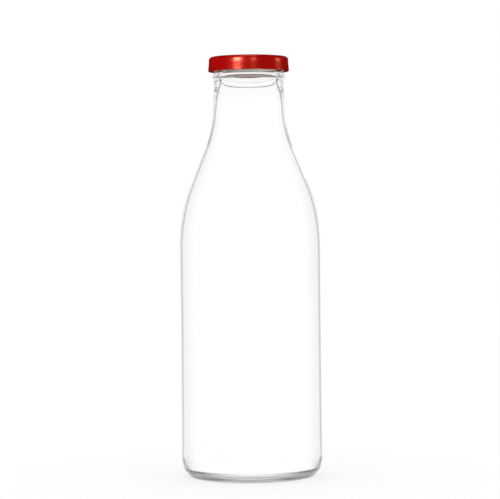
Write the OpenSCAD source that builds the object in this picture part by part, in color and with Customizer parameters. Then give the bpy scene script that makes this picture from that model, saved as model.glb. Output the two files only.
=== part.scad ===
// One-litre clear glass milk bottle with a four-lug twist-off cap.
// Millimetres, +Z up, origin at the centre of the face the bottle stands on.

/* [Body] */
// Height of the glass from its standing face to the rim
bottle_h = 257.7; // [225:0.1:320]
// Outside diameter of the straight body
body_d = 87.3; // [76:0.1:110]
// Wall of the straight body
body_wall = 2.1; // [1.4:0.05:3]
// Height of the heel's upper corner, above which the side runs straight
heel_h = 13; // [11:0.5:18]
// Height of the heel's lower corner
heel_corner_h = 4.4; // [3.5:0.1:6]
// How far the standing ring lies inside the body's side
heel_in = 6.1; // [5:0.1:8]

/* [Base] */
// Width of the flat ring that the bottle stands on
ring_w = 3.9; // [2:0.1:6]
// Height of the pushed-up underside at the centre
pushup = 2.8; // [1.5:0.1:6]
// Glass thickness at the centre of the base
base_t = 3; // [2:0.1:6]
// Glass thickness where the base turns up into the wall
base_edge_t = 3; // [2.5:0.1:6]
// Inside corner radius between floor and wall
floor_r = 5.5; // [3:0.5:10]

/* [Shoulder and neck] */
// Slope of the shoulder, measured from the vertical
shoulder_slope = 22.25; // [18:0.25:30]
// Radius that rounds the body into the shoulder
shoulder_r = 99; // [40:1:120]
// Wall across the shoulder, measured level
shoulder_wall = 1.5; // [1.2:0.05:2.5]
// Height from the neck's lower end to the rim
neck_h = 43.7; // [38:0.1:60]
// Outside diameter of the neck at its lower end
neck_d = 44.8; // [43.6:0.1:54]
// Radius that rounds the shoulder into the neck
neck_r = 71; // [30:1:90]
// Wall at the lower end of the neck, measured level
neck_wall = 1.55; // [1.2:0.05:2.5]

/* [Finish] */
// Diameter of the glass between the threads
finish_d = 43.2; // [42:0.1:52]
// Clear diameter of the mouth
mouth_d = 33.6; // [28:0.1:40.4]
// Depth below the rim at which the bore starts to open out
mouth_len = 14.5; // [13:0.1:16]
// Radius that eases the bore into the flare
mouth_curve_r = 19; // [4:1:24]
// Height over which the bore opens out into the neck
flare_h = 6.6; // [5:0.1:9]
// Radius that eases the flare into the neck
flare_curve_r = 16; // [4:1:20]
// Glass thickness where the flare ends, measured from the finish
neck_top_wall = 2.4; // [1.8:0.05:3]
// How far the transfer bead stands out from the finish
bead_out = 0.75; // [0.4:0.05:1.2]
// Height of the transfer bead
bead_h = 2.4; // [2:0.1:3]
// Distance from the rim down to the middle of the transfer bead
bead_drop = 11.1; // [10.9:0.1:13]
// Rounding of the transfer bead
bead_r = 0.8; // [0.4:0.1:0.9]
// Rounding of the rim's outer edge
rim_r = 1.3; // [0.5:0.1:2]
// Rounding of the rim's inner edge
rim_in_r = 1; // [0.5:0.1:1.5]

/* [Thread] */
// Number of thread segments, and of cap lugs
starts = 4; // [4:1:4]
// Arc that one thread segment covers, in degrees
thread_span = 62; // [50:1:64]
// Climb of a thread segment, in degrees
thread_tilt = 4.6; // [3:0.1:5]
// Radius of a thread's rounded section
thread_r = 1.25; // [1:0.05:1.4]
// How far a thread stands out from the finish
thread_depth = 1.55; // [1.3:0.05:1.7]

/* [Cap] */
// Height of the cap over all
cap_h = 9; // [8.5:0.1:9.2]
// Thickness of the tinplate
tin = 0.2; // [0.16:0.01:0.3]
// Outside radius of the cap's top corner
cap_corner_r = 1.8; // [1:0.1:2.4]
// Radius at which the centre panel starts to step down
panel_r = 17.6; // [12:0.1:18]
// Depth of the centre panel below the cap's top
panel_drop = 0.6; // [0.3:0.05:0.65]
// Outside radius of the curled lower edge
curl_r = 0.75; // [0.6:0.05:0.8]
// How far the curl stands out beyond the skirt
curl_proud = 0.4; // [0.2:0.05:0.5]
// Width of a lug along the skirt
lug_w = 8; // [6:0.1:8.4]
// Thickness of a pressed lug
lug_t = 0.9; // [0.6:0.05:1]

/* [Liner] */
// Thickness of the sealing compound over the rim
liner_t = 0.87; // [0.75:0.01:1.2]
// Width of the sealing ring inside the skirt
liner_w = 6.3; // [5:0.1:7]
// How far the compound runs down the skirt below the cap's rounded corner
liner_drop = 0.55; // [0.4:0.05:0.8]

/* [Fits] */
// Gap between the rim and the liner
seal_gap = 0.03; // [0.02:0.01:0.1]
// Gap between the liner and the shell that holds it
liner_gap = 0.03; // [0.02:0.01:0.1]
// Gap between the threads and the inside of the skirt
skirt_gap = 1.2; // [1:0.05:1.5]
// Gap between a lug's tip and the finish
lug_tip_gap = 0.5; // [0.35:0.05:0.7]
// Gap between a lug's top and the low end of its thread
lug_clear = 0.12; // [0.08:0.01:0.3]
// Arc from a thread's low end to the nearer side of the closed lug, in degrees
lug_inset = 1.5; // [0.5:0.1:3]

/* [Hidden] */
$fn = 144;
ARC_STEP = 9;      // widest turn between two points of an arc, in degrees
ARC_CHORD = 4;     // longest chord of an arc

body_r = body_d / 2;
finish_r = finish_d / 2;
mouth_r = mouth_d / 2;
ring_out = body_r - heel_in;
ring_in = ring_out - ring_w;

neck_z = bottle_h - neck_h;
shoulder_z = neck_z - (body_r - neck_d / 2) / tan(shoulder_slope);
inner_shoulder_z = shoulder_z + (body_wall - shoulder_wall) / tan(shoulder_slope);
bead_z = bottle_h - bead_drop;
bead_slope = 0.4;            // height over which each side of the bead runs out
bead_foot_r = 0.5;           // rounding where the bead meets the glass
neck_top_r = finish_r - 0.2; // the neck just below the bead
floor_z = pushup + base_t;
pan_in = 0.4 * ring_in;      // radius of the flat middle under the bottle
pan_r = 60;                  // rounding of the pushed-up pan, above and below
floor_in = 0.3 * ring_in;    // the floor falls between these two radii
floor_out = 0.8 * ring_in;
foot_w = 1.2;                // slope on the inner side of the standing ring
foot_h = 1.1;
foot_root_r = 2;             // roundings at the slope's top, the ring's inner and outer edge
foot_in_r = 0.8;
foot_out_r = 2.2;
heel_corner_in = 1.6;        // how far the heel's lower corner lies inside the body's side
heel_corner_r = 4.5;         // roundings of the heel's lower and upper corner
heel_side_r = 14;

skirt_in = finish_r + thread_depth + skirt_gap;
skirt_out = skirt_in + tin;
rim_seat = bottle_h + seal_gap;
liner_top = rim_seat + liner_t;
cap_under = liner_top + liner_gap;
cap_top = cap_under + tin;
cap_z = cap_top - cap_h;
curl_c = [skirt_out + curl_proud - curl_r, cap_z + curl_r];
step_w = 0.8;                // width of the step around the centre panel
step_r = 0.5;                // rounding of that step

lug_z = cap_z + 0.05;        // a lug hangs a little above the curl's lower edge
lug_in = finish_r + lug_tip_gap;
lug_half = asin(lug_w / 2 / skirt_in);
pitch = 360 / starts;
thread_c = finish_r + thread_depth - thread_r;
thread_rise = 2 * thread_c * sin(thread_tilt) * sin(thread_span / 2);
thread_z = lug_z + lug_t + lug_clear + thread_r + thread_rise / 2;
lug_turn = lug_inset + lug_half - thread_span / 2;

// ---- outlines ------------------------------------------------------------------

function unit(a, b) = (b - a) / norm(b - a);
function flat(p) = [p[0], p[1]];

// A path is a list of points [x, y] or [x, y, radius]. The angle at point i, halved
function half_angle(path, i) =
    let (p = flat(path[i]), u = unit(p, flat(path[i - 1])), v = unit(p, flat(path[i + 1])))
    acos(max(-1, min(1, u * v))) / 2;

// Length of the edges that the rounding of point i takes up on each side
function run(path, i) =
    i <= 0 || i >= len(path) - 1 || len(path[i]) < 3 ? 0 : path[i][2] / tan(half_angle(path, i));

// The share of the edge from i to j that point i may have: all it asks for, or its part of it
function share(path, i, j) =
    run(path, i) * min(1, norm(flat(path[i]) - flat(path[j])) / (run(path, i) + run(path, j)));

// The arc that rounds point i, with a smaller radius where its edges are too short
function arc(path, i) =
    let (
        p = flat(path[i]),
        u = unit(p, flat(path[i - 1])),
        v = unit(p, flat(path[i + 1])),
        half = half_angle(path, i),
        len_used = 0.999 * min(share(path, i, i - 1), share(path, i, i + 1)),
        r = len_used * tan(half),
        mid = p + unit([0, 0], u + v) * r / sin(half),
        from = p + u * len_used - mid,
        sweep = 180 - 2 * half,
        side = sign(from[1] * u[0] - from[0] * u[1]),
        n = max(2, ceil(max(sweep / ARC_STEP, sweep * PI / 180 * r / ARC_CHORD)))
    )
    [for (k = [0:n]) let (t = side * sweep * k / n)
        mid + [from[0] * cos(t) - from[1] * sin(t), from[0] * sin(t) + from[1] * cos(t)]];

// The path with its inner corners rounded
function rounded(path) =
    [for (i = [0:len(path) - 1]) each (run(path, i) == 0 ? [flat(path[i])] : arc(path, i))];

// Section of the glass: up the outside from the underside's centre, over the rim
// and down the inside to the middle of the floor
function glass_section() = rounded([
    [0, pushup],
    [pan_in, pushup, pan_r],
    [ring_in - foot_w, foot_h, foot_root_r],
    [ring_in, 0, foot_in_r],
    [ring_out, 0, foot_out_r],
    [body_r - heel_corner_in, heel_corner_h, heel_corner_r],
    [body_r, heel_h, heel_side_r],
    [body_r, shoulder_z, shoulder_r],
    [neck_d / 2, neck_z, neck_r],
    [neck_top_r, bead_z - bead_h / 2, bead_foot_r],
    [finish_r + bead_out, bead_z - bead_h / 2 + bead_slope, bead_r],
    [finish_r + bead_out, bead_z + bead_h / 2 - bead_slope, bead_r],
    [finish_r, bead_z + bead_h / 2, bead_foot_r],
    [finish_r, bottle_h, rim_r],
    [mouth_r, bottle_h, rim_in_r],
    [mouth_r, bottle_h - mouth_len, mouth_curve_r],
    [finish_r - neck_top_wall, bottle_h - mouth_len - flare_h, flare_curve_r],
    [neck_d / 2 - neck_wall, neck_z, neck_r],
    [body_r - body_wall, inner_shoulder_z, shoulder_r],
    [body_r - body_wall, base_edge_t, floor_r],
    [floor_out, base_edge_t, pan_r / 2],
    [floor_in, floor_z, pan_r],
    [0, floor_z]
]);

// Section of the cap's pressed wall, from the axis to where the skirt runs into the curl
function cap_section() = concat(
    rounded([
        [0, cap_top - panel_drop],
        [panel_r - step_w, cap_top - panel_drop, step_r],
        [panel_r, cap_top, step_r + tin],
        [skirt_out, cap_top, cap_corner_r],
        [skirt_out, skirt_foot]
    ]),
    rounded([
        [skirt_in, skirt_foot],
        [skirt_in, cap_under, cap_corner_r - tin],
        [panel_r, cap_under, step_r],
        [panel_r - step_w, cap_under - panel_drop, step_r + tin],
        [0, cap_under - panel_drop]
    ])
);
// The skirt ends inside the wall of the curl
skirt_foot = curl_c[1] + sqrt(pow(curl_r - tin / 2, 2) - pow(skirt_out - tin / 2 - curl_c[0], 2));

// Section of the sealing ring that fills the corner between panel and skirt
function liner_section() =
    let (
        out = skirt_in - liner_gap,
        in = out - liner_w,
        corner_r = cap_corner_r - tin - liner_gap,
        edge_r = 0.2,
        bed_out = 0.7       // the flat bed reaches this far past the finish
    )
    rounded([
        [in, rim_seat + liner_t * 2 / 3],
        [in, liner_top, edge_r],
        [out, liner_top, corner_r],
        [out, liner_top - corner_r - liner_drop, edge_r],
        [finish_r + bed_out, rim_seat, 4 * edge_r],
        [in, rim_seat, edge_r],
        [in, rim_seat + liner_t / 3]
    ]);

// ---- pieces --------------------------------------------------------------------

// One thread: a short run of a tilted ring, closed by a rounded end
module thread() {
    end_r = thread_r - 0.04;     // a hair under the run, so that it joins inside it
    translate([0, 0, thread_z]) rotate([thread_tilt, 0, 0]) {
        rotate([0, 0, -thread_span / 2])
            rotate_extrude(angle = thread_span) translate([thread_c, 0]) circle(r = thread_r, $fn = 32);
        for (s = [-1, 1])
            rotate([0, 0, s * thread_span / 2]) translate([thread_c, 0, 0]) sphere(r = end_r, $fn = 32);
    }
}

module glass_bottle() color([0.86, 0.93, 0.94, 0.45]) {
    rotate_extrude() polygon(glass_section());
    for (i = [0:starts - 1])
        rotate([0, 0, i * pitch]) thread();
}

// Section of the rolled lower edge, open towards the inside of the skirt
module curl_section() {
    gap_from = 110;
    gap_to = 150;
    reach = 2 * curl_r;
    translate(curl_c) difference() {
        circle(r = curl_r, $fn = 48);
        circle(r = curl_r - tin, $fn = 48);
        polygon([
            [0, 0],
            reach * [cos(gap_from), sin(gap_from)],
            reach * [cos(gap_to), sin(gap_to)]
        ]);
    }
}

// A lug is the curl pressed flat and pushed inward, a little narrower at its tip
module lug() {
    root = curl_c[0] + curl_r;
    translate([0, 0, lug_z]) linear_extrude(lug_t) intersection() {
        difference() {
            circle(r = curl_c[0]);
            circle(r = lug_in);
        }
        polygon([
            [0, 0],
            [root, -lug_w / 2],
            [root, lug_w / 2]
        ]);
    }
}

module cap_shell() color("firebrick") {
    rotate_extrude() union() {
        polygon(cap_section());
        curl_section();
    }
    for (i = [0:starts - 1])
        rotate([0, 0, i * pitch + lug_turn]) lug();
}

module seal_liner() color("ivory") {
    rotate_extrude() polygon(liner_section());
}

glass_bottle();
cap_shell();
seal_liner();
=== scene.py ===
import math

import bmesh
import bpy
from mathutils import Euler, Matrix, Vector, noise


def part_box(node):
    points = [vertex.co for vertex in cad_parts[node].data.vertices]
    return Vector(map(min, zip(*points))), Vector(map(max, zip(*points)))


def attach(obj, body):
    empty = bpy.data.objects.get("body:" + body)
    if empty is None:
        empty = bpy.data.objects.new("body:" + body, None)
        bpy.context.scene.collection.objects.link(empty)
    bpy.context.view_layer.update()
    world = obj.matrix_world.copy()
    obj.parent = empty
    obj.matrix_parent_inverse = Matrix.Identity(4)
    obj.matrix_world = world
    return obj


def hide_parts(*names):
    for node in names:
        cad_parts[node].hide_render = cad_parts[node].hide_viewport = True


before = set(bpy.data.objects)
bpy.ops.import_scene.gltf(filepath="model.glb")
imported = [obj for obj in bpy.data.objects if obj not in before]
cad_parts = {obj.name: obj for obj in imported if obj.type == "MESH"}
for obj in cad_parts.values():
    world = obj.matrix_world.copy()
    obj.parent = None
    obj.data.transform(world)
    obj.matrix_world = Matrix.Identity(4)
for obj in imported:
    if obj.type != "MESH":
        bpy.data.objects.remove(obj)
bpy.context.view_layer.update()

scene = bpy.context.scene
mm = 0.001
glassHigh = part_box("glass_bottle")[1]
capLow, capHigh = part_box("cap_shell")
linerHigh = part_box("seal_liner")[1]
rimZ = glassHigh.z / mm
bodyR = glassHigh.x / mm
capTop = capHigh.z / mm
capFoot = capLow.z / mm
linerTop = linerHigh.z / mm


# Outlines are lists of (radius, height, rounding) in millimetres

def cornerArc(before, at, after, rounding, turnStep=math.radians(9), chordStep=2.4):
    here = Vector(at)
    toBefore = (Vector(before) - here).normalized()
    toAfter = (Vector(after) - here).normalized()
    half = toBefore.angle(toAfter) / 2
    run = rounding / math.tan(half)
    middle = here + (toBefore + toAfter).normalized() * rounding / math.sin(half)
    start = here + toBefore * run - middle
    sweep = math.pi - 2 * half
    side = 1 if start.y * toBefore.x - start.x * toBefore.y > 0 else -1
    steps = max(3, math.ceil(max(sweep / turnStep, sweep * rounding / chordStep)))
    turns = [Matrix.Rotation(side * sweep * i / steps, 2) for i in range(steps + 1)]
    return [middle + turn @ start for turn in turns]


def roundedPath(corners):
    path = [Vector(corners[0][:2])]
    for before, at, after in zip(corners, corners[1:], corners[2:]):
        if len(at) < 3:
            path.append(Vector(at))
        else:
            path += cornerArc(before[:2], at[:2], after[:2], at[2])
    return path + [Vector(corners[-1][:2])]


def arcPath(centre, radius, fromAngle, toAngle, steps):
    turn = toAngle - fromAngle
    angles = [math.radians(fromAngle + turn * i / steps) for i in range(steps + 1)]
    return [Vector((centre[0] + radius * math.cos(a), centre[1] + radius * math.sin(a)))
            for a in angles]


def evenly(path, longest):
    # longest(point) gives the widest gap allowed there
    filled = [path[0]]
    for point in path[1:]:
        start = filled[-1]
        gap = (point - start).length
        if gap < 1e-5:      # the same point twice
            continue
        pieces = max(1, math.ceil(gap / longest((start + point) / 2)))
        filled += [start.lerp(point, i / pieces) for i in range(1, pieces + 1)]
    return filled


def spun(outline, steps, closed=False):
    bm = bmesh.new()
    verts = [bm.verts.new((p.x * mm, 0, p.y * mm)) for p in outline]
    edges = [bm.edges.new(pair) for pair in zip(verts, verts[1:])]
    if closed:
        edges.append(bm.edges.new((verts[-1], verts[0])))
    bmesh.ops.spin(bm, geom=verts + edges, cent=(0, 0, 0), axis=(0, 0, 1), dvec=(0, 0, 0),
                   angle=math.tau, steps=steps, use_merge=True, use_duplicate=False)
    bmesh.ops.remove_doubles(bm, verts=bm.verts[:], dist=1e-7)
    bmesh.ops.recalc_face_normals(bm, faces=bm.faces[:])
    for face in bm.faces:
        face.smooth = True
    return bm


def finishedPiece(bm, name, body, node, materials):
    mesh = bpy.data.meshes.new(name)
    bm.to_mesh(mesh)
    bm.free()
    piece = bpy.data.objects.new(name, mesh)
    scene.collection.objects.link(piece)
    for material in materials:
        mesh.materials.append(material)
    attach(piece, body)
    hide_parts(node)
    print("made", name, "with", len(mesh.polygons), "faces")
    return piece


def smoothstep(low, high, value):
    t = min(1, max(0, (value - low) / (high - low)))
    return t * t * (3 - 2 * t)


# Node helpers, shared by the materials

def newMaterial(name):
    material = bpy.data.materials.new(name)
    material.use_nodes = True
    tree = material.node_tree
    print("material", name)
    return material, tree, tree.nodes["Principled BSDF"]


def addNode(tree, kind, **inputs):
    node = tree.nodes.new(kind)
    for key, value in inputs.items():
        node.inputs[key.replace("_", " ")].default_value = value
    return node


def give(tree, socket, value):
    # a value is a number, an (r, g, b) colour or another node's output
    if isinstance(value, tuple):
        socket.default_value = (*value, 1)
    elif isinstance(value, (int, float)):
        socket.default_value = value
    else:
        tree.links.new(value, socket)


def mathNode(tree, operation, first, second=None, clamp=False):
    node = tree.nodes.new("ShaderNodeMath")
    node.operation = operation
    node.use_clamp = clamp
    give(tree, node.inputs[0], first)
    if second is not None:
        give(tree, node.inputs[1], second)
    return node.outputs[0]


def mixColour(tree, factor, first, second):
    node = tree.nodes.new("ShaderNodeMix")
    node.data_type = "RGBA"
    for name, value in (("Factor", factor), ("A", first), ("B", second)):
        give(tree, node.inputs[name], value)
    return node.outputs["Result"]


def mixShader(tree, factor, first, second):
    node = tree.nodes.new("ShaderNodeMixShader")
    for socket, output in zip(node.inputs, (factor, first, second)):
        tree.links.new(output, socket)
    return node.outputs["Shader"]


def ramp(tree, value, low, high):
    node = addNode(tree, "ShaderNodeMapRange", From_Min=low, From_Max=high)
    node.interpolation_type = "SMOOTHSTEP"
    tree.links.new(value, node.inputs["Value"])
    return node.outputs["Result"]


def heightRamp(tree, height, top, points):
    node = tree.nodes.new("ShaderNodeValToRGB")
    elements = node.color_ramp.elements
    elements.remove(elements[-1])
    for at, value in points:
        element = elements[0] if at == points[0][0] else elements.new(at / top)
        element.color = (value, value, value, 1)
    tree.links.new(mathNode(tree, "DIVIDE", height, top * mm), node.inputs["Fac"])
    return node.outputs["Color"]


def readAttribute(tree, name):
    node = tree.nodes.new("ShaderNodeAttribute")
    node.attribute_name = name
    return node.outputs["Fac"]


def objectPlace(tree):
    return tree.nodes.new("ShaderNodeTexCoord").outputs["Object"]


def noiseAt(tree, place, scale, detail):
    node = tree.nodes.new("ShaderNodeTexNoise")
    for name, value in (("Vector", place), ("Scale", scale), ("Detail", detail)):
        give(tree, node.inputs[name], value)
    return node.outputs["Fac"]


def bumped(tree, height, strength, depth, normal=None):
    node = addNode(tree, "ShaderNodeBump", Strength=strength, Distance=depth)
    tree.links.new(height, node.inputs["Height"])
    if normal is not None:
        tree.links.new(normal, node.inputs["Normal"])
    return node.outputs["Normal"]


# Glass bottle

bottle = {
    "bodyWall": 2.1, "heelTop": 13, "heelTopRound": 14,
    "heelCorner": 4.4, "heelCornerIn": 1.6, "heelCornerRound": 4.5, "heelIn": 6.1,
    "ringWidth": 3.9, "ringRoundIn": 0.8, "ringRoundOut": 2.2,
    "flankIn": 1.2, "flankHeight": 1.1, "flankRound": 2,        # just inside the standing ring
    "pushUp": 2.8, "pushUpFlat": 0.4, "domeRound": 60,          # flats are parts of the ring's radius
    "baseThickness": 3.0, "baseEdge": 3.0, "floorRound": 3.2,
    "floorFlat": 0.3, "floorDip": 0.8, "floorDipRound": 30,
    "shoulderSlope": 22.25, "shoulderRound": 99, "shoulderWall": 1.5,
    "neckHeight": 43.7, "neckRadius": 22.4, "neckRound": 71, "neckWall": 1.55, "neckTopWall": 2.4,
    "finishRadius": 21.6, "neckStep": 0.2, "mouthRadius": 16.8, "mouthLength": 12.8, "flare": 10.5,
    "mouthRound": 36, "flareRound": 36, "rimRound": 1.3, "rimRoundIn": 1,
    "beadOut": 0.75, "beadHeight": 2.4, "beadDrop": 11.1, "beadRound": 0.8,
    "beadSlope": 0.4, "beadFootRound": 0.5,
    "threadCount": 4, "threadSpan": 62, "threadTilt": 4.6, "threadSection": 1.25,
    "threadOut": 1.55, "threadDrop": 4.7,       # from the rim down to the middle of the threads
    "waviness": 0.16, "wavyGrain": 0.035,       # unevenness of the blown inside
    "wavyFrom": 8, "wavyFull": 24,              # heights above the floor where it sets in
    "evenFrom": 45, "evenFull": 20,             # depths under the rim where it fades out
    # height and how thick the wall looks there from outside
    "seenWall": ((2, 3.6), (5, 3.2), (6.5, 2.5), (8, 1.5), (10, 0.95), (12, 0.8), (15, 0.85),
                 (22, 0.95), (50, 1.1), (140, 1.2), (158, 1.45), (172, 1.35), (205, 1.2),
                 (214, 1.2), (226, 1.4), (232, 1.7), (238, 2.7), (242, 4.4), (247, 3.1),
                 (258, 3.1)),
    "bandEdge": 36, "bandFade": 1.2,            # radius where the base's bands of painted shade set in
    # faces round it, and the longest ones up the body, from the shoulder on and at the threads
    "around": 288, "bodyGap": 6, "neckGapFrom": 150, "neckGap": 3,
    "threadGap": 0.25, "threadReach": 3.2,
}


def bottleOutline(b):
    ringOut = bodyR - b["heelIn"]
    ringIn = ringOut - b["ringWidth"]
    neckZ = rimZ - b["neckHeight"]
    slope = math.tan(math.radians(b["shoulderSlope"]))
    shoulderZ = neckZ - (bodyR - b["neckRadius"]) / slope
    innerShoulderZ = shoulderZ + (b["bodyWall"] - b["shoulderWall"]) / slope
    beadZ = rimZ - b["beadDrop"]
    beadFoot, beadHead = beadZ - b["beadHeight"] / 2, beadZ + b["beadHeight"] / 2
    finish, mouth = b["finishRadius"], b["mouthRadius"]
    beadR = finish + b["beadOut"]
    floorZ = b["pushUp"] + b["baseThickness"]
    flareTop = rimZ - b["mouthLength"]
    threadZ = rimZ - b["threadDrop"]
    outline = roundedPath([
        (0, b["pushUp"]),
        (ringIn * b["pushUpFlat"], b["pushUp"], b["domeRound"]),
        (ringIn - b["flankIn"], b["flankHeight"], b["flankRound"]),
        (ringIn, 0, b["ringRoundIn"]),
        (ringOut, 0, b["ringRoundOut"]),
        (bodyR - b["heelCornerIn"], b["heelCorner"], b["heelCornerRound"]),
        (bodyR, b["heelTop"], b["heelTopRound"]),
        (bodyR, shoulderZ, b["shoulderRound"]),
        (b["neckRadius"], neckZ, b["neckRound"]),
        (finish - b["neckStep"], beadFoot, b["beadFootRound"]),
        (beadR, beadFoot + b["beadSlope"], b["beadRound"]),
        (beadR, beadHead - b["beadSlope"], b["beadRound"]),
        (finish, beadHead, b["beadFootRound"]),
        (finish, rimZ, b["rimRound"]),
        # over the rim and down the inside
        (mouth, rimZ, b["rimRoundIn"]),
        (mouth, flareTop, b["mouthRound"]),
        (finish - b["neckTopWall"], flareTop - b["flare"], b["flareRound"]),
        (b["neckRadius"] - b["neckWall"], neckZ, b["neckRound"]),
        (bodyR - b["bodyWall"], innerShoulderZ, b["shoulderRound"]),
        (bodyR - b["bodyWall"], b["baseEdge"], b["floorRound"]),
        (ringIn * b["floorDip"], b["baseEdge"], b["floorDipRound"]),
        (ringIn * b["floorFlat"], floorZ, b["domeRound"]),
        (0, floorZ),
    ])

    def longest(p):
        if p.x > finish - 0.5 and abs(p.y - threadZ) < b["threadReach"]:
            return b["threadGap"]
        return b["bodyGap"] if p.y < b["neckGapFrom"] else b["neckGap"]

    return evenly(outline, longest)


def threadRadius(b, angle, z):
    # radius of the outer face at this place, raised where a thread segment runs
    section, finish = b["threadSection"], b["finishRadius"]
    centre = finish + b["threadOut"] - section
    pitch = math.tau / b["threadCount"]
    offset = (angle + pitch / 2) % pitch - pitch / 2
    halfSpan = math.radians(b["threadSpan"] / 2)
    rise = centre * math.sin(math.radians(b["threadTilt"])) * math.sin(offset)
    height = rimZ - b["threadDrop"] + rise
    beyond = max(0, abs(offset) - halfSpan) * centre
    left = section ** 2 - (z - height) ** 2 - beyond ** 2
    return max(finish, centre + math.sqrt(left)) if left > 0 else finish


def unevenness(b, x, y, z):
    low = smoothstep(b["wavyFrom"], b["wavyFull"], z)
    high = smoothstep(rimZ - b["evenFrom"], rimZ - b["evenFull"], z)
    wave = noise.noise(Vector((x, y, z * 0.5)) * b["wavyGrain"])
    return b["waviness"] * low * (1 - high) * wave


def insideProfile(b):
    outline = bottleOutline(b)
    top = max(range(len(outline)), key=lambda i: outline[i].y)
    return sorted((p.y, p.x) for p in outline[top + 1:])


def radiusAt(profile, z):
    if z < profile[0][0]:
        return 0
    for low, high in zip(profile, profile[1:]):
        if low[0] <= z <= high[0] and high[0] > low[0]:
            return low[1] + (high[1] - low[1]) * (z - low[0]) / (high[0] - low[0])
    return profile[-1][1]


def shapeWalls(bm, b):
    # threads on the finish, unevenness on the inside
    finish = b["finishRadius"]
    finishFoot = rimZ - b["beadDrop"] + b["beadHeight"]
    for v in bm.verts:
        x, y, z = v.co / mm
        r = math.hypot(x, y)
        if r < 0.01:        # the two points on the axis
            continue
        target = r
        if r > finish - 0.05 and finishFoot < z < rimZ - 1:
            target = r + threadRadius(b, math.atan2(y, x), z) - finish
        elif v.normal.x * x + v.normal.y * y < 0 and b["wavyFrom"] < z < rimZ - b["evenFull"]:
            target = r + unevenness(b, x, y, z)
        v.co.x *= target / r
        v.co.y *= target / r


def markOutside(bm, b):
    # hollow: how far the inside reaches towards each point of the outer face, as a part of its
    # radius; the second layer: where that face goes round the heel, where the bands of painted shade
    # lie
    hollow = bm.verts.layers.float.new("hollow")
    corner = bm.verts.layers.float.new("corner")
    inner = insideProfile(b)
    low, high = b["seenWall"][0][0], b["seenWall"][-1][0]
    for v in bm.verts:
        x, y, z = v.co / mm
        r = math.hypot(x, y)
        if r > 1 and v.normal.x * x + v.normal.y * y > 0.001:
            edge = r - radiusAt(b["seenWall"], z) if low < z < high else radiusAt(inner, z)
            v[hollow] = (edge + unevenness(b, x, y, z)) / r
            v[corner] = smoothstep(b["bandEdge"], b["bandEdge"] + b["bandFade"], r)


def buildBottle(b, materials):
    bm = spun(bottleOutline(b), b["around"])
    shapeWalls(bm, b)
    markOutside(bm, b)
    return finishedPiece(bm, "glass_body", "bottle", "glass_bottle", materials)


glassLook = {
    "ior": 1.52, "tint": (1, 1, 1), "absorb": (0.84, 0.87, 0.89), "density": 5,
    "shadowTint": (0.93, 0.95, 0.95),
    "ripple": 0.25, "rippleScale": 14, "bumpDepth": 0.0006,
    # painted shade: the soft shade towards the sides, and the thin dark line along the inner wall
    "sideFrom": 0.76, "sideTo": 1.0, "sideReach": 0.02, "paintedSideShade": (0.72, 0.735, 0.79),
    "lineWidth": 0.022, "lineSpread": 0.13, "lineDepth": 0.77, "lineGain": 2.5,
    "lineMost": 0.96, "paintedLineShade": (0.034, 0.042, 0.066),
    # painted shade in dark bands across the base: height, depth in front, from how far across deeper,
    # and how much
    "paintedBands": ((0, 0, 0.7, 0), (0.8, 0, 0.65, 3), (1.6, 0, 0.52, 6), (2.4, 0, 0.5, 6),
             (2.9, 0.1, 0.45, 1.5), (3.7, 0.6, 0.3, 0.3), (4.3, 0.62, 0.3, 0.3),
             (4.7, 0.1, 0.3, 1.2), (5.1, 0.03, 0.3, 2.1), (5.9, 0.03, 0.3, 2.1),
             (6.5, 0, 0.3, 0)),
    "bandTop": 8, "bandMost": 0.95, "paintedBandShade": (0.02, 0.022, 0.025),
    "ribs": 132, "ribTop": 3.6, "ribFrom": 33.0, "ribHeight": 0.5,
    "ribFade": 0.8, "ribFadeIn": 0.7,
}


def ringRibs(tree, look, axes):
    # fine ribs on the standing ring only
    angle = mathNode(tree, "ARCTAN2", axes["Y"], axes["X"])
    wave = mathNode(tree, "SINE", mathNode(tree, "MULTIPLY", angle, look["ribs"]))
    foot = ramp(tree, axes["Z"], look["ribTop"] * mm, (look["ribTop"] - look["ribFade"]) * mm)
    squares = [mathNode(tree, "MULTIPLY", axes[axis], axes[axis]) for axis in "XY"]
    radius = mathNode(tree, "POWER", mathNode(tree, "ADD", *squares), 0.5)
    rim = ramp(tree, radius, look["ribFrom"] * mm, (look["ribFrom"] + look["ribFadeIn"]) * mm)
    return mathNode(tree, "MULTIPLY", wave, mathNode(tree, "MULTIPLY", foot, rim))


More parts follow.
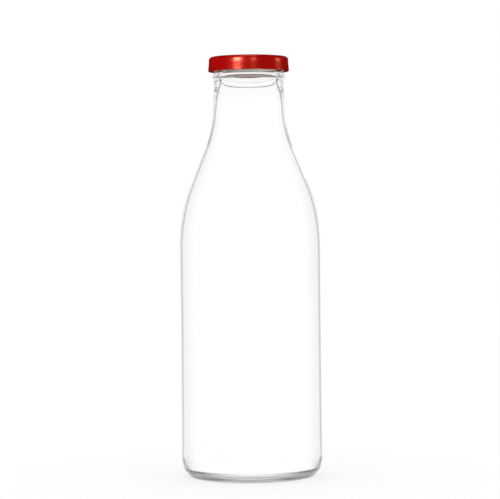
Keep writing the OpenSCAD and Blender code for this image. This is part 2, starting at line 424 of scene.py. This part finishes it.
def paintedEdgeShade(tree, look):
    # painted shade drawn into the glass's colour by the view angle: the thin dark line where one
    # looks along the inner wall, and the soft shade towards it
    weight = addNode(tree, "ShaderNodeLayerWeight", Blend=0.5)
    shape = tree.nodes.new("ShaderNodeNewGeometry")
    split = tree.nodes.new("ShaderNodeSeparateXYZ")
    tree.links.new(shape.outputs["Normal"], split.inputs[0])
    steep = mathNode(tree, "POWER", split.outputs["Z"], 2)
    level = mathNode(tree, "SQRT", mathNode(tree, "SUBTRACT", 1.0001, steep))
    facing = mathNode(tree, "SUBTRACT", 1, weight.outputs["Facing"])
    along = mathNode(tree, "DIVIDE", facing, level, clamp=True)
    straight = mathNode(tree, "POWER", along, 2)
    across = mathNode(tree, "SQRT", mathNode(tree, "SUBTRACT", 1, straight))
    hollow = readAttribute(tree, "hollow")
    outside = mathNode(tree, "GREATER_THAN", hollow, 0.0005)
    wall = mathNode(tree, "SUBTRACT", 1, hollow)
    spread = mathNode(tree, "MULTIPLY", wall, look["lineSpread"])
    width = mathNode(tree, "ADD", look["lineWidth"], spread)
    inwards = mathNode(tree, "SUBTRACT", hollow, across)
    away = mathNode(tree, "DIVIDE", mathNode(tree, "ABSOLUTE", inwards), width)
    gain = mathNode(tree, "MULTIPLY", wall, look["lineGain"])
    depth = mathNode(tree, "ADD", look["lineDepth"], gain)
    depth = mathNode(tree, "MINIMUM", depth, look["lineMost"])
    lineShade = mathNode(tree, "MULTIPLY", ramp(tree, away, 1, 0), depth)
    lineShade = mathNode(tree, "MULTIPLY", lineShade, outside)
    softShade = mathNode(tree, "MULTIPLY", ramp(tree, across, look["sideFrom"], look["sideTo"]), outside)
    softShade = mathNode(tree, "MULTIPLY", softShade, ramp(tree, inwards, -look["sideReach"], 0))
    return lineShade, softShade, across


def paintedBaseShade(tree, look, height, across, direct):
    # painted shade: the base's dark bands, deeper towards the sides, for the camera's own rays only
    columns = zip(*look["paintedBands"])
    heights = next(columns)
    front, start, side = [heightRamp(tree, height, look["bandTop"], list(zip(heights, column)))
                          for column in columns]
    beyond = mathNode(tree, "MAXIMUM", mathNode(tree, "SUBTRACT", across, start), 0)
    deep = mathNode(tree, "ADD", front, mathNode(tree, "MULTIPLY", side, beyond))
    deep = mathNode(tree, "MINIMUM", deep, look["bandMost"])
    deep = mathNode(tree, "MULTIPLY", deep, readAttribute(tree, "corner"))
    return mathNode(tree, "MULTIPLY", deep, direct)


def clearGlass(look):
    material, tree, shader = newMaterial("clear_glass")
    links = tree.links
    shader.inputs["IOR"].default_value = look["ior"]
    shader.inputs["Transmission Weight"].default_value = 1
    shader.inputs["Roughness"].default_value = 0
    place = objectPlace(tree)
    split = tree.nodes.new("ShaderNodeSeparateXYZ")
    links.new(place, split.inputs[0])
    axes = split.outputs
    ripples = noiseAt(tree, place, look["rippleScale"], 1)
    normal = bumped(tree, ripples, look["ripple"], look["bumpDepth"])
    ribs = ringRibs(tree, look, axes)
    normal = bumped(tree, ribs, look["ribHeight"], look["bumpDepth"], normal)
    links.new(normal, shader.inputs["Normal"])
    rays = tree.nodes.new("ShaderNodeLightPath")
    # painted shade in the glass's colour: the dark edge line, the soft shade towards the sides and
    # the base's dark bands
    lineShade, softShade, across = paintedEdgeShade(tree, look)
    paintedBands = paintedBaseShade(tree, look, axes["Z"], across, rays.outputs["Is Camera Ray"])
    colour = mixColour(tree, softShade, look["tint"], look["paintedSideShade"])
    colour = mixColour(tree, lineShade, colour, look["paintedLineShade"])
    colour = mixColour(tree, paintedBands, colour, look["paintedBandShade"])
    links.new(colour, shader.inputs["Base Color"])
    shade = addNode(tree, "ShaderNodeVolumeAbsorption", Color=(*look["absorb"], 1),
                    Density=look["density"])
    output = tree.nodes["Material Output"]
    links.new(shade.outputs["Volume"], output.inputs["Volume"])
    clear = addNode(tree, "ShaderNodeBsdfTransparent", Color=(*look["shadowTint"], 1))
    surface = mixShader(tree, rays.outputs["Is Shadow Ray"], shader.outputs["BSDF"],
                        clear.outputs["BSDF"])
    links.new(surface, output.inputs["Surface"])
    return material


glass = buildBottle(bottle, [clearGlass(glassLook)])


# Cap shell

cap = {
    "tin": 0.2, "skirtOut": 24.55, "cornerRound": 1.8,
    "panelRadius": 17.6, "panelDrop": 0.6, "stepWidth": 0.8, "stepRound": 0.5,
    "curlRadius": 0.75, "curlProud": 0.4, "curlFrom": 12, "curlEnd": -245, "curlSteps": 34,
    "taper": 0.12, "flareHeight": 5.2, "flareRound": 16,
    "insideFoot": 1.4,              # where the plain inside of the skirt starts, above the curl
    "lugCount": 4, "lugWidth": 8, "lugPush": 1.3, "lugFirst": -20,
    "lugReach": 2.6, "lugFrom": 20,             # only this low and this far out is pressed
    "lugFull": 0.85, "lugEnd": 1.3,             # parts of the lug's half width
    "lugFadeFrom": 0.4, "lugFadeTo": 1.2,       # heights above the curl's middle
    "around": 288, "skirtFrom": 23, "skirtGap": 0.6, "panelGap": 2.5,
}


def capOutline(c):
    tin, skirt, panel = c["tin"], c["skirtOut"], c["panelRadius"]
    under, low = capTop - tin, capTop - c["panelDrop"]
    curlC = (skirt + c["curlProud"] - c["curlRadius"], capFoot + c["curlRadius"])
    inTop = math.degrees(math.acos((skirt - tin - curlC[0]) / (c["curlRadius"] - tin)))
    curl = arcPath(curlC, c["curlRadius"], c["curlFrom"], c["curlEnd"], c["curlSteps"])
    outside = roundedPath([
        (0, low),
        (panel - c["stepWidth"], low, c["stepRound"]),
        (panel, capTop, c["stepRound"] + tin),
        (skirt - c["taper"], capTop, c["cornerRound"]),
        (skirt, capFoot + c["flareHeight"], c["flareRound"]),
        tuple(curl[0]),
    ])
    curlBack = arcPath(curlC, c["curlRadius"] - tin, c["curlEnd"], inTop, c["curlSteps"])
    inside = roundedPath([
        (skirt - tin, curlC[1] + c["insideFoot"]),
        (skirt - tin, under, c["cornerRound"] - tin),
        (panel, under, c["stepRound"]),
        (panel - c["stepWidth"], under - c["panelDrop"], c["stepRound"] + tin),
        (0, under - c["panelDrop"]),
    ])
    return outside + curl[1:] + curlBack + inside, curlC


def paintSides(bm, c, curlC):
    # red outside, pale lacquer inside, meeting within the curl
    middle = c["curlRadius"] - c["tin"] / 2
    for face in bm.faces:
        at = face.calc_center_median() / mm
        r = math.hypot(at.x, at.y)
        fromCurl = math.hypot(r - curlC[0], at.z - curlC[1])
        if at.z < curlC[1] + middle and fromCurl < c["curlRadius"] + 0.1:
            red = fromCurl > middle - 0.02
        else:
            skirt = r > c["skirtOut"] - c["tin"] / 2 and face.normal.z > -0.3
            red = face.normal.z > 0.05 or skirt
        face.material_index = 0 if red else 1


def pressLugs(bm, c, curlC):
    half = math.asin(c["lugWidth"] / 2 / c["skirtOut"])
    pitch = math.tau / c["lugCount"]
    fadeFrom, fadeTo = curlC[1] + c["lugFadeFrom"], curlC[1] + c["lugFadeTo"]
    for v in bm.verts:
        x, y, z = v.co / mm
        r = math.hypot(x, y)
        if z > curlC[1] + c["lugReach"] or r < c["lugFrom"]:
            continue
        offset = (math.atan2(y, x) - math.radians(c["lugFirst"]) + pitch / 2) % pitch - pitch / 2
        press = 1 - smoothstep(half * c["lugFull"], half * c["lugEnd"], abs(offset))
        inward = (curlC[0] + c["curlRadius"] - r) / (2 * c["curlRadius"])
        press *= min(1, inward) ** 2 * (1 - smoothstep(fadeFrom, fadeTo, z))
        v.co.x *= (r - c["lugPush"] * press) / r
        v.co.y *= (r - c["lugPush"] * press) / r


def buildCap(c, materials):
    outline, curlC = capOutline(c)
    outline = evenly(outline, lambda p: c["panelGap"] if p.x < c["skirtFrom"] else c["skirtGap"])
    bm = spun(outline, c["around"])
    paintSides(bm, c, curlC)
    pressLugs(bm, c, curlC)
    return finishedPiece(bm, "cap", "cap", "cap_shell", materials)


def cloudedColourGroup():
    # two colours mixed in soft clouds, for both lacquers and the compound
    group = bpy.data.node_groups.new("clouded_colour", "ShaderNodeTree")
    number, colour = "NodeSocketFloat", "NodeSocketColor"
    for name, kind in (("Place", "NodeSocketVector"), ("Scale", number), ("Detail", number),
                       ("Deep", colour), ("Bright", colour)):
        group.interface.new_socket(name, in_out="INPUT", socket_type=kind)
    for name, kind in (("Colour", colour), ("Cloud", number)):
        group.interface.new_socket(name, in_out="OUTPUT", socket_type=kind)
    given = group.nodes.new("NodeGroupInput").outputs
    made = group.nodes.new("NodeGroupOutput").inputs
    cloud = noiseAt(group, given["Place"], given["Scale"], given["Detail"])
    group.links.new(mixColour(group, cloud, given["Deep"], given["Bright"]), made["Colour"])
    group.links.new(cloud, made["Cloud"])
    print("node group", group.name)
    return group


cloudedColour = cloudedColourGroup()


def cloudedBase(tree, shader, place, look):
    # sets the shader's colour and gives the clouds for its other sockets
    node = tree.nodes.new("ShaderNodeGroup")
    node.node_tree = cloudedColour
    for name, value in (("Place", place), ("Scale", look["cloudScale"]),
                        ("Detail", look["cloudDetail"]),
                        ("Deep", look["deep"]), ("Bright", look["bright"])):
        give(tree, node.inputs[name], value)
    tree.links.new(node.outputs["Colour"], shader.inputs["Base Color"])
    return node.outputs["Cloud"]


redLook = {
    "deep": (0.3, 0, 0), "bright": (0.44, 0, 0.001), "cloudScale": 90, "cloudDetail": 3,
    "metal": 0.45, "gloss": 1.0, "glossTint": (1, 0.84, 0.52),
    "roughFrom": 0.16, "roughTo": 0.26,
    "peel": 0.05, "peelScale": 900, "peelDetail": 2, "peelDepth": 0.0002,
}
paleLook = {
    "deep": (0.70, 0.66, 0.56), "bright": (0.78, 0.75, 0.66), "rough": 0.35,
    "cloudScale": 120, "cloudDetail": 3,
}


def redLacquer(look):
    material, tree, shader = newMaterial("red_lacquer")
    place = objectPlace(tree)
    cloud = cloudedBase(tree, shader, place, look)
    rough = addNode(tree, "ShaderNodeMapRange", To_Min=look["roughFrom"], To_Max=look["roughTo"])
    tree.links.new(cloud, rough.inputs["Value"])
    tree.links.new(rough.outputs["Result"], shader.inputs["Roughness"])
    grain = noiseAt(tree, place, look["peelScale"], look["peelDetail"])
    tree.links.new(bumped(tree, grain, look["peel"], look["peelDepth"]), shader.inputs["Normal"])
    shader.inputs["Metallic"].default_value = look["metal"]
    shader.inputs["Specular IOR Level"].default_value = look["gloss"]
    shader.inputs["Specular Tint"].default_value = (*look["glossTint"], 1)
    return material


def evenSatin(name, look):
    material, tree, shader = newMaterial(name)
    cloudedBase(tree, shader, objectPlace(tree), look)
    shader.inputs["Roughness"].default_value = look["rough"]
    return material


buildCap(cap, [redLacquer(redLook), evenSatin("pale_lacquer", paleLook)])


# Sealing ring

liner = {
    "outRadius": 24.32, "width": 6.3, "cornerRound": 1.57, "drop": 0.55, "slopeTo": 22.3,
    "seatGap": 0.03, "edgeRound": 0.2, "slopeRound": 0.8, "seatRound": 0.3, "around": 192,
}
compoundLook = {
    "deep": (0.66, 0.62, 0.52), "bright": (0.78, 0.74, 0.64), "rough": 0.5,
    "cloudScale": 160, "cloudDetail": 4,
}


def linerOutline(s):
    seat = rimZ + s["seatGap"]
    inner = s["outRadius"] - s["width"]
    foot = linerTop - s["cornerRound"] - s["drop"]
    middle = (linerTop + seat) / 2
    return roundedPath([
        (inner, middle),
        (inner, linerTop, s["edgeRound"]),
        (s["outRadius"], linerTop, s["cornerRound"]),
        (s["outRadius"], foot, s["edgeRound"]),
        (s["slopeTo"], seat, s["slopeRound"]),
        (inner, seat, s["seatRound"]),
        (inner, middle - 0.01),     # just short of the start, where the loop closes
    ])


ring = spun(linerOutline(liner), liner["around"], closed=True)
finishedPiece(ring, "sealing_ring", "liner", "seal_liner",
              [evenSatin("sealing_compound", compoundLook)])


# Camera, floor and light

view = {
    "distance": 1.281, "height": 0.1609, "focal": 2072, "imageWidth": 500, "imageHeight": 499,
    "horizonRow": 215.8, "axisColumn": 250.3, "roll": -0.55, "sensor": 36, "clip": (0.05, 20),
}


def addCamera(v):
    data = bpy.data.cameras.new("camera")
    data.sensor_width = v["sensor"]
    data.lens = v["focal"] * v["sensor"] / v["imageWidth"]
    data.clip_start, data.clip_end = v["clip"]
    camera = bpy.data.objects.new("camera", data)
    scene.collection.objects.link(camera)
    pitch = math.atan((v["imageHeight"] / 2 - v["horizonRow"]) / v["focal"])
    yaw = math.atan((v["axisColumn"] - v["imageWidth"] / 2) / v["focal"])
    camera.location = (0, -v["distance"], v["height"])
    aim = Euler((math.pi / 2 - pitch, 0, yaw)).to_matrix()
    roll = Matrix.Rotation(math.radians(v["roll"]), 3, "Z")
    camera.rotation_euler = (aim @ roll).to_euler()
    scene.camera = camera
    print("camera at", tuple(round(c, 3) for c in camera.location))


studio = {
    "floorRadius": 3,
    "floorTone": 0.35, "floorGlow": 0.725,      # as seen, also through the glass
    "floorPlain": 0.9, "worldPlain": 0.8,       # as they light the bottle
    "floorSatin": 0.02, "worldSatin": 0.015,    # as the satin cap mirrors them
    "bounces": 40,                              # light runs a long way inside a glass wall
    "lampTarget": (0, 0, 0.2),
}


def seenClearly(tree):
    # seen is 1 for what the camera sees itself, through glass or mirrored in glass; satin is 1
    # for what a satin face mirrors
    rays = tree.nodes.new("ShaderNodeLightPath").outputs
    seen = mathNode(tree, "MAXIMUM", rays["Is Camera Ray"], rays["Is Transmission Ray"])
    seen = mathNode(tree, "MAXIMUM", seen, rays["Is Singular Ray"])
    unseen = mathNode(tree, "SUBTRACT", 1, seen)
    return seen, mathNode(tree, "MULTIPLY", rays["Is Glossy Ray"], unseen)


def addFloor(s):
    bm = bmesh.new()
    bmesh.ops.create_circle(bm, cap_ends=True, segments=96, radius=s["floorRadius"])
    mesh = bpy.data.meshes.new("floor")
    bm.to_mesh(mesh)
    bm.free()
    floor = bpy.data.objects.new("floor", mesh)
    scene.collection.objects.link(floor)
    material = bpy.data.materials.new("floor_white")
    material.use_nodes = True
    tree = material.node_tree
    tree.nodes.clear()
    links = tree.links
    seen, satin = seenClearly(tree)
    tone, plain, dark = [(s[key],) * 3 for key in ("floorTone", "floorPlain", "floorSatin")]
    diffuse = addNode(tree, "ShaderNodeBsdfDiffuse", Color=(*tone, 1))
    glow = addNode(tree, "ShaderNodeEmission", Color=(1, 1, 1, 1), Strength=s["floorGlow"])
    both = tree.nodes.new("ShaderNodeAddShader")
    links.new(diffuse.outputs[0], both.inputs[0])
    links.new(glow.outputs[0], both.inputs[1])
    unseen = tree.nodes.new("ShaderNodeBsdfDiffuse")
    links.new(mixColour(tree, satin, plain, dark), unseen.inputs["Color"])
    output = tree.nodes.new("ShaderNodeOutputMaterial")
    links.new(mixShader(tree, seen, unseen.outputs[0], both.outputs[0]), output.inputs["Surface"])
    mesh.materials.append(material)
    print("floor laid")
    return floor


def addWorld(s):
    world = bpy.data.worlds.new("studio")
    scene.world = world
    world.use_nodes = True
    tree = world.node_tree
    tree.nodes.clear()
    seen, satin = seenClearly(tree)
    darker = mathNode(tree, "MULTIPLY", satin, s["worldPlain"] - s["worldSatin"])
    strength = mathNode(tree, "SUBTRACT", s["worldPlain"], darker)
    sky = addNode(tree, "ShaderNodeBackground", Color=(1, 1, 1, 1))
    tree.links.new(mathNode(tree, "MAXIMUM", seen, strength), sky.inputs["Strength"])
    output = tree.nodes.new("ShaderNodeOutputWorld")
    tree.links.new(sky.outputs[0], output.inputs["Surface"])
    print("world lit")


addCamera(view)
floor = addFloor(studio)
addWorld(studio)

# The lamps shine past the glass, so that they leave no white stripes in it, and past the floor,
# which the world lights evenly
lampsPass = bpy.data.collections.new("lamps_pass")
for passed in (glass, floor):
    lampsPass.objects.link(passed)
for entry in lampsPass.collection_objects:
    entry.light_linking.link_state = "EXCLUDE"

# azimuth (0 on the camera's side, 90 on the right), elevation, distance, size, power, and
# whether the cap mirrors the lamp
lamps = {
    "left_front": (-32, 2, 1.2, (0.4, 0.36), 18, True),
    "front": (14, 3, 1.2, (0.26, 0.46), 1.1, True),
    "right_side": (93.5, 2, 1.2, (0.3, 0.36), 1.6, True),
    "top": (0, 80, 1.0, (0.5, 0.5), 1.5, True),
    "back": (180, 10, 1.2, (0.8, 0.5), 9, False),
    "right_fill": (105, 5, 1.2, (0.5, 0.5), 13, False),
    "left_fill": (-115, 5, 1.2, (0.5, 0.5), 5, False),
}


def addLamp(name, azimuth, elevation, distance, size, power, mirrored):
    data = bpy.data.lights.new(name, "AREA")
    data.shape = "RECTANGLE"
    data.size, data.size_y = size
    data.energy = power
    lamp = bpy.data.objects.new(name, data)
    scene.collection.objects.link(lamp)
    a, e = math.radians(azimuth), math.radians(elevation)
    out = Vector((math.sin(a) * math.cos(e), -math.cos(a) * math.cos(e), math.sin(e)))
    lamp.location = Vector(studio["lampTarget"]) + out * distance
    lamp.rotation_euler = out.to_track_quat("Z", "Y").to_euler()
    lamp.visible_camera = False
    lamp.visible_transmission = False
    lamp.visible_glossy = mirrored
    lamp.light_linking.receiver_collection = lampsPass


for name, settings in lamps.items():
    addLamp(name, *settings)
print("lamps placed:", ", ".join(lamps))

scene.view_settings.view_transform = "Standard"
scene.cycles.max_bounces = studio["bounces"]
scene.cycles.glossy_bounces = studio["bounces"]
scene.cycles.transmission_bounces = studio["bounces"]
